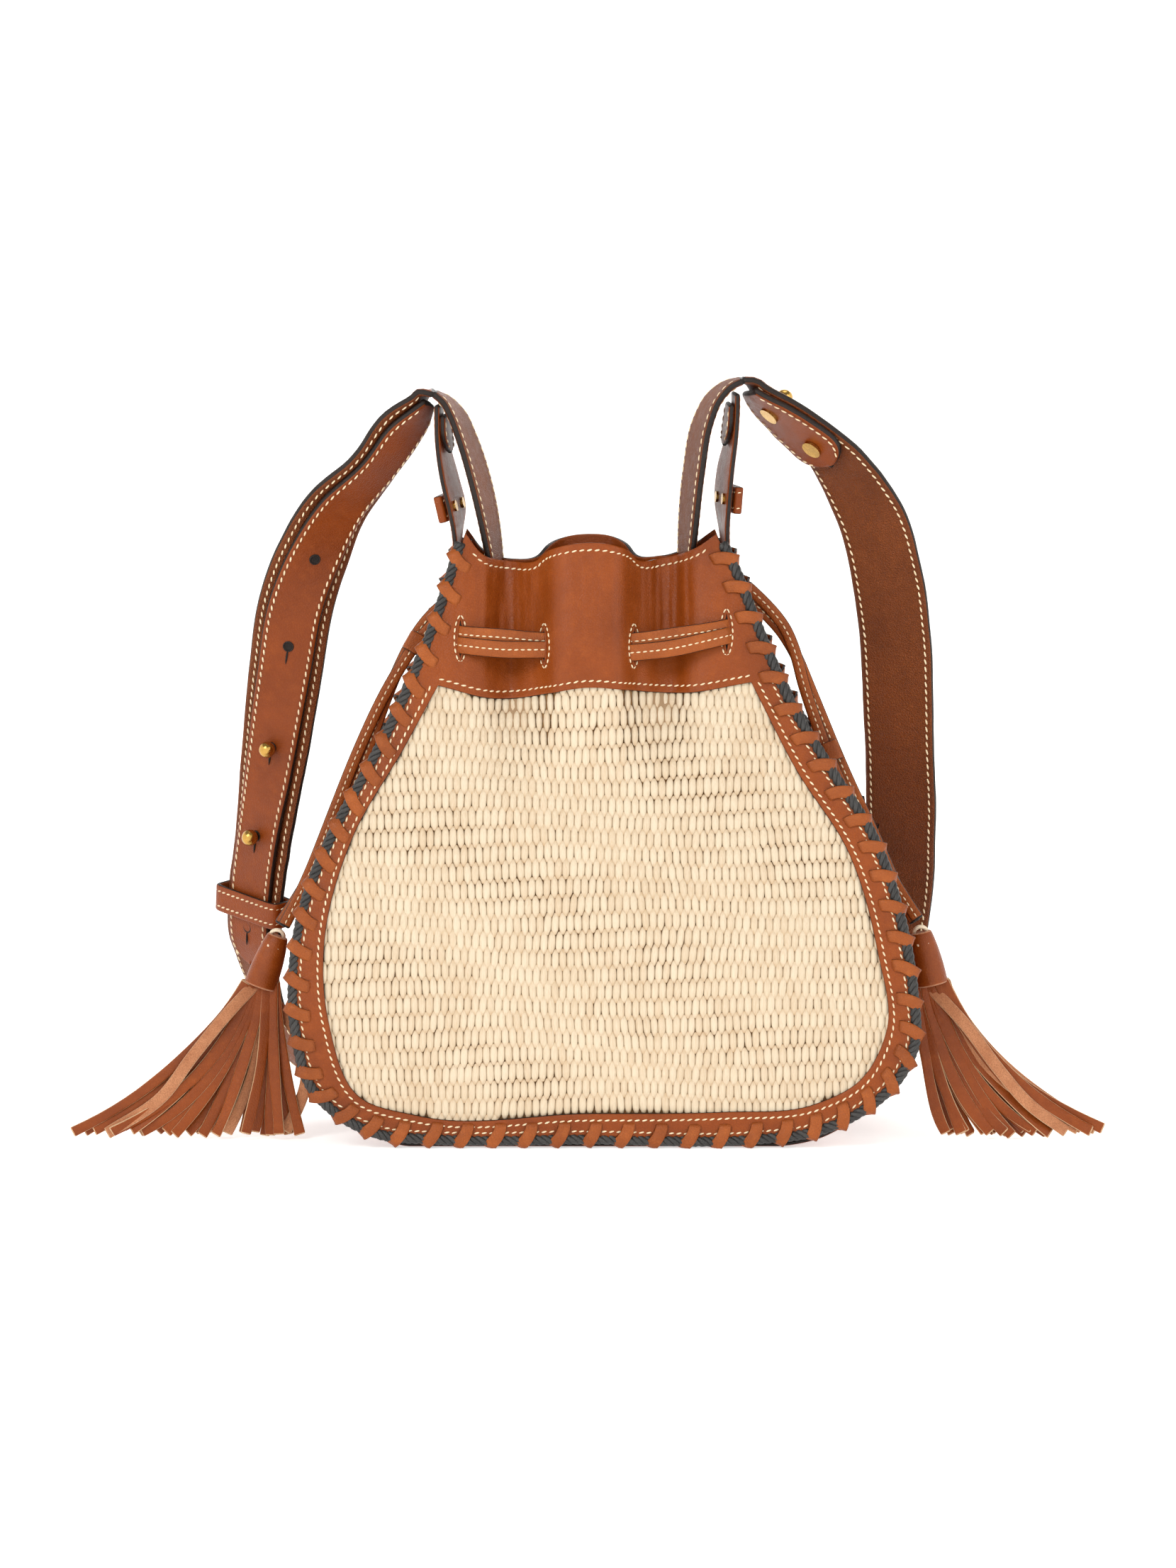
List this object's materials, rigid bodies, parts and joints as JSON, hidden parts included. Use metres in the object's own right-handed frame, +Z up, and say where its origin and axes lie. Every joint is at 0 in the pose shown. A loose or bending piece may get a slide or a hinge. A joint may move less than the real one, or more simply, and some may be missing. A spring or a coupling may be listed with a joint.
{
  "type": "bucket bag",
  "caption": "Woven raffia bucket bag in a laced leather frame, closed by a drawstring through its pleated collar, with an adjustable shoulder strap and a tassel at each end of the drawstring.",
  "frame": {"origin": "middle of the base's underside, on the surface that the bag stands on", "axes": "+X along the bag's width, towards the stud tab; +Z up; the front faces -Y"},
  "size_m": [0.4596, 0.1851, 0.3395],
  "materials": {
    "tan_leather": "smooth tan calf with cream stitching",
    "strap_leather": "smooth tan strap leather with black painted edges",
    "lace_leather": "soft tan lace",
    "tassel_leather": "tan leather cut in strips, suede on the flesh side",
    "raffia": "woven natural raffia",
    "waxed_cord": "black waxed braid",
    "tie_cord": "pale cotton cord",
    "lining": "plain cotton twill",
    "board": "fibre board",
    "brass": "polished brass"
  },
  "bodies": {
    "bag": {"front_frame": "tan_leather", "back_frame": "tan_leather", "front_raffia": "raffia", "back_raffia": "raffia", "front_lining": "lining", "back_lining": "lining", "left_gusset": "tan_leather", "right_gusset": "tan_leather", "base_gusset": "tan_leather", "base_board": "board", "front_edge_cord": "waxed_cord", "back_edge_cord": "waxed_cord", "front_lacing": "lace_leather", "back_lacing": "lace_leather", "drawstring_front": "lace_leather", "drawstring_back": "lace_leather", "left_drawstring_end": "lace_leather", "right_drawstring_end": "lace_leather", "left_strap_tail": "strap_leather", "right_strap_tail": "strap_leather", "hole_strap_tongue": "strap_leather", "stud_tab_tongue": "strap_leather", "left_tab_keeper": "strap_leather", "right_tab_keeper": "strap_leather", "left_tab_rivets": "brass", "right_tab_rivets": "brass"},
    "shoulder_strap": {"shoulder_strap": "strap_leather", "hole_strap": "strap_leather", "stud_tab": "strap_leather", "upper_ball_stud": "brass", "lower_ball_stud": "brass", "upper_tab_stud": "brass", "lower_tab_stud": "brass"},
    "strap_keeper": {"strap_keeper": "strap_leather"},
    "left_slider": {"left_slider": "lace_leather"},
    "right_slider": {"right_slider": "lace_leather"},
    "left_tassel": {"left_tassel_head": "tassel_leather", "left_fringe": "tassel_leather", "left_tassel_tie": "tie_cord"},
    "right_tassel": {"right_tassel_head": "tassel_leather", "right_fringe": "tassel_leather", "right_tassel_tie": "tie_cord"}
  },
  "joints": [
    {"name": "strap_swing", "type": "hinge", "parent": "bag", "child": "shoulder_strap", "pos_m": [0, 0, 0.334], "axis": [1, 0, 0], "range_deg": [0, 140]},
    {"name": "keeper_slide", "type": "slide", "parent": "shoulder_strap", "child": "strap_keeper", "axis": [0.0509, -0.2213, 0.9739], "range_m": [-0.005, 0.01]},
    {"name": "left_slider_slide", "type": "slide", "parent": "bag", "child": "left_slider", "axis": [-0.4926, -0.1196, -0.862], "range_m": [0, 0.01]},
    {"name": "right_slider_slide", "type": "slide", "parent": "bag", "child": "right_slider", "axis": [-0.352, 0.1578, 0.9226], "range_m": [0, 0.016]},
    {"name": "left_tassel_swing", "type": "hinge", "parent": "bag", "child": "left_tassel", "pos_m": [-0.1384, -0.025, 0.091], "axis": [0, 1, 0], "range_deg": [0, 50]},
    {"name": "right_tassel_swing", "type": "hinge", "parent": "bag", "child": "right_tassel", "pos_m": [0.148, -0.025, 0.0925], "axis": [0, -1, 0], "range_deg": [0, 50]}
  ]
}
